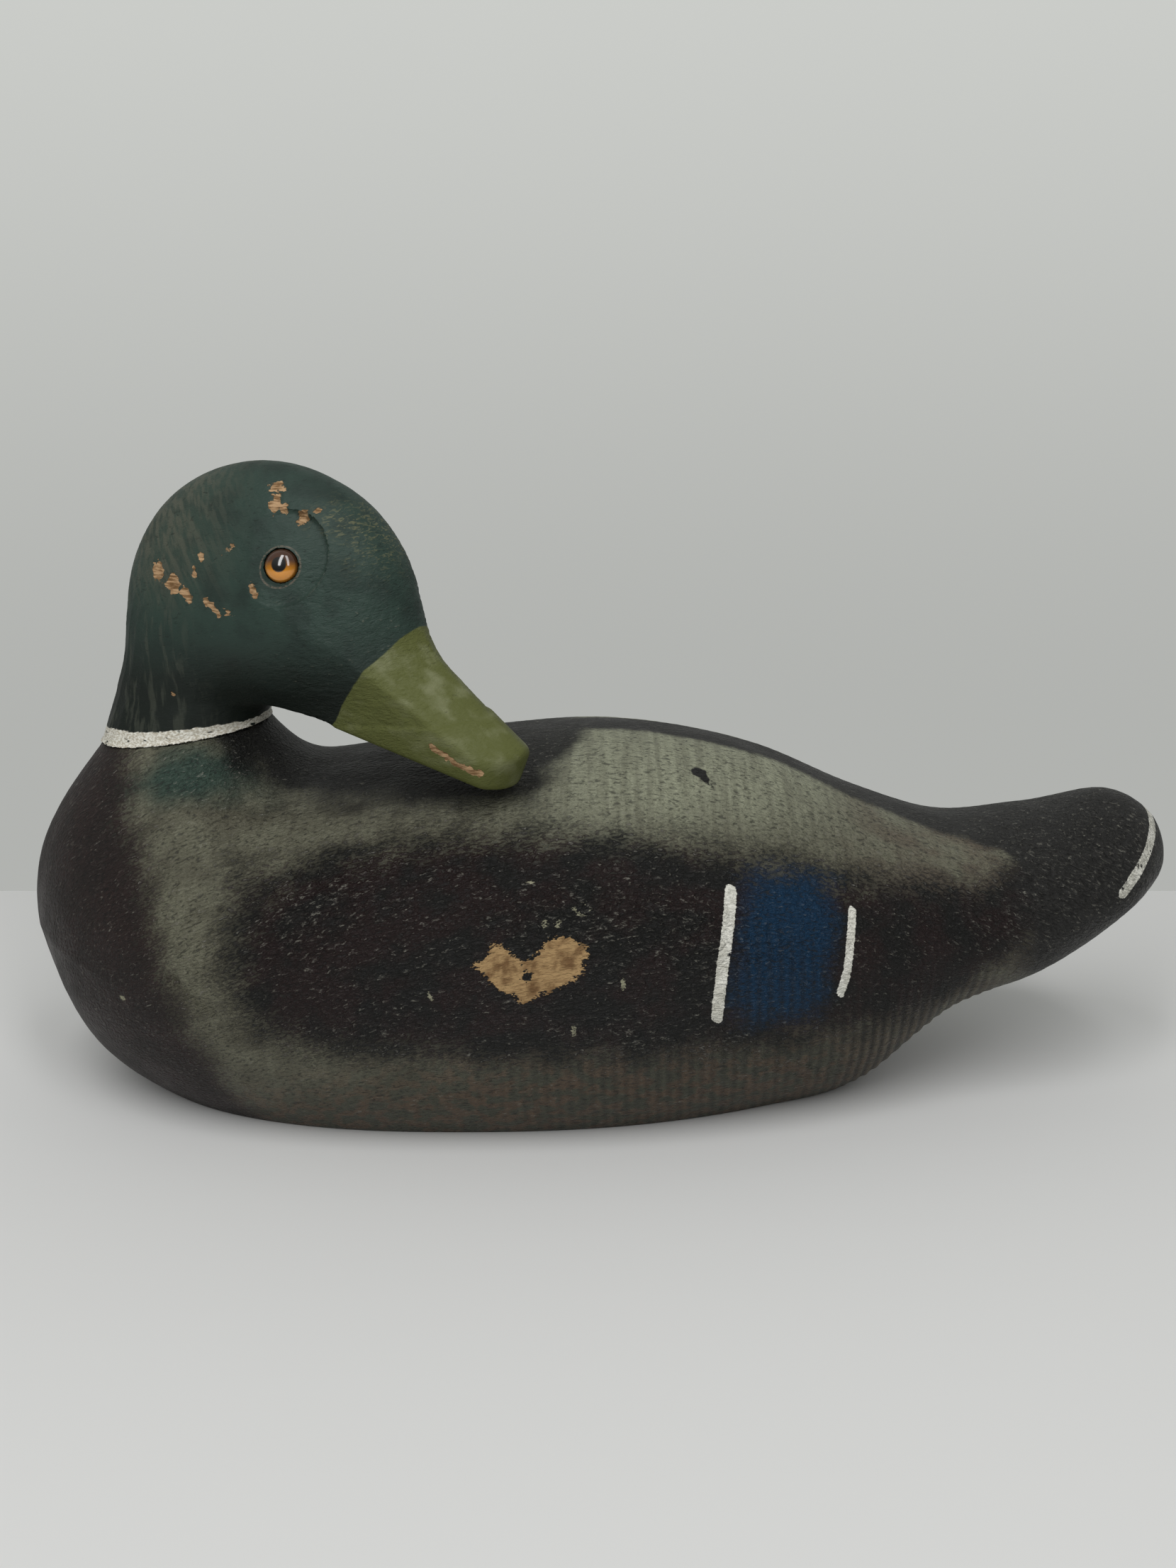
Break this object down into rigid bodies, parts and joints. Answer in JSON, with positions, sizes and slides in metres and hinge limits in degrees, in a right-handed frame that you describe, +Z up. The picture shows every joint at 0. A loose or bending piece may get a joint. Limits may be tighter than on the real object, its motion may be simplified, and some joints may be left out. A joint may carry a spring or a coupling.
{
  "type": "wooden mallard drake decoy",
  "caption": "Carved and painted wooden duck decoy with a flat underside, its head turned back so that the bill lies over the near side of the back, and glass eyes.",
  "frame": {"origin": "middle of the flat underside's plane, below the middle of the whole decoy's box", "axes": "+X from the breast towards the tail, -Y towards the duck's left side, +Z up from the underside"},
  "size_m": [0.366, 0.152, 0.1997],
  "materials": {
    "body_paint": "worn satin oil paint on wood",
    "head_paint": "worn satin oil paint on wood",
    "eye_glass": "polished amber glass with a black pupil"
  },
  "bodies": {
    "root": {"body": "body_paint", "head": "head_paint", "eye_left": "eye_glass", "eye_right": "eye_glass"}
  },
  "joints": []
}
